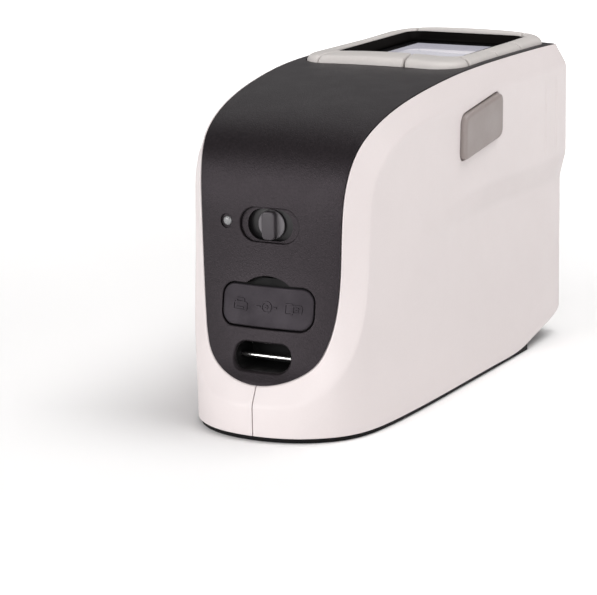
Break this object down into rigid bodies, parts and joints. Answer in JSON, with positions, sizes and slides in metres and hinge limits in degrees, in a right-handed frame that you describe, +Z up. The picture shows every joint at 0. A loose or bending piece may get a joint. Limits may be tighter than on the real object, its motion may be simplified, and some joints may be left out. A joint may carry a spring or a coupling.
{
  "type": "portable colour spectrophotometer",
  "caption": "Hand-held colour spectrophotometer with a black wrap-over cover, a screen ringed by keys, a side measure button, a power slider, a socket flap and a strap slot.",
  "frame": {"origin": "underside of the base plate, on the centre plane, half way along the case", "axes": "+Z up, +Y from the socket end to the far end, +X towards the measure button"},
  "size_m": [0.0754, 0.181, 0.1127],
  "materials": {
    "white_shell": "warm off-white moulded plastic, fine satin",
    "black_cover": "charcoal black moulded plastic, fine texture",
    "black_base": "matt black moulded plastic",
    "key_grey": "light warm grey, smooth",
    "button_grey": "mid warm grey, satin",
    "switch_black": "semi-gloss black",
    "grey_rubber": "dark grey moulded rubber",
    "lamp": "unlit smoke-grey lens",
    "screen": "pale lavender screen under a clear window",
    "steel": "bright steel",
    "aluminium": "satin aluminium",
    "circuit_board": "green circuit board",
    "white_coating": "white diffuse coating",
    "chassis_grey": "dark grey moulded plastic",
    "battery_blue": "blue shrink sleeve"
  },
  "bodies": {
    "case": {"left_shell": "white_shell", "right_shell": "white_shell", "centre_cover": "black_cover", "base_plate": "black_base", "base_screw_left_near": "steel", "base_screw_left_far": "steel", "base_screw_right_near": "steel", "base_screw_right_far": "steel", "display_frame": "black_cover", "display_window": "screen", "lcd_module": "aluminium", "lcd_board": "circuit_board", "key_mat": "grey_rubber", "key_board": "circuit_board", "key_ring_bar": "key_grey", "trigger_switch": "switch_black", "trigger_board": "circuit_board", "power_switch": "steel", "lamp_lens": "lamp", "port_frame": "black_base", "usb_socket": "steel", "power_socket": "black_base", "printer_socket": "black_base", "front_board": "circuit_board", "strap_pocket": "black_base", "strap_bar": "steel", "aperture_ring": "black_base", "sphere_lower": "white_coating", "sphere_upper": "white_coating", "source_board": "circuit_board", "spectrometer_housing": "aluminium", "sensor_board": "circuit_board", "chassis": "chassis_grey", "main_board": "circuit_board", "processor_shield": "steel", "buzzer": "black_base", "battery_cradle": "chassis_grey", "battery_pack": "battery_blue"},
    "left_near_key": {"key_left_near": "key_grey"},
    "left_far_key": {"key_left_far": "key_grey"},
    "near_long_key": {"key_near_long": "key_grey"},
    "near_short_key": {"key_near_short": "key_grey"},
    "right_near_key": {"key_right_near": "key_grey"},
    "right_middle_key": {"key_right_middle": "key_grey"},
    "right_far_key": {"key_right_far": "key_grey"},
    "button": {"measure_button": "button_grey"},
    "slider": {"power_slider": "switch_black"},
    "flap": {"port_flap": "grey_rubber"}
  },
  "joints": [
    {"name": "left_near_key_press", "type": "slide", "parent": "case", "child": "left_near_key", "axis": [0, 0, -1], "range_m": [0, 0.0006], "stiffness_N_per_m": 900},
    {"name": "left_far_key_press", "type": "slide", "parent": "case", "child": "left_far_key", "axis": [0, 0, -1], "range_m": [0, 0.0006], "stiffness_N_per_m": 900},
    {"name": "near_long_key_press", "type": "slide", "parent": "case", "child": "near_long_key", "axis": [0, 0, -1], "range_m": [0, 0.0006], "stiffness_N_per_m": 900},
    {"name": "near_short_key_press", "type": "slide", "parent": "case", "child": "near_short_key", "axis": [0, 0, -1], "range_m": [0, 0.0006], "stiffness_N_per_m": 900},
    {"name": "right_near_key_press", "type": "slide", "parent": "case", "child": "right_near_key", "axis": [0, 0, -1], "range_m": [0, 0.0006], "stiffness_N_per_m": 900},
    {"name": "right_middle_key_press", "type": "slide", "parent": "case", "child": "right_middle_key", "axis": [0, 0, -1], "range_m": [0, 0.0006], "stiffness_N_per_m": 900},
    {"name": "right_far_key_press", "type": "slide", "parent": "case", "child": "right_far_key", "axis": [0, 0, -1], "range_m": [0, 0.0006], "stiffness_N_per_m": 900},
    {"name": "measure_button_press", "type": "slide", "parent": "case", "child": "button", "axis": [-1, 0, 0], "range_m": [0, 0.0012], "stiffness_N_per_m": 1200},
    {"name": "power_slide", "type": "slide", "parent": "case", "child": "slider", "axis": [1, 0, 0], "range_m": [-0.0025, 0.0025]},
    {"name": "port_flap_hinge", "type": "hinge", "parent": "case", "child": "flap", "pos_m": [0, -0.08092, 0.0354], "axis": [1, 0, 0], "range_deg": [0, 95]}
  ]
}
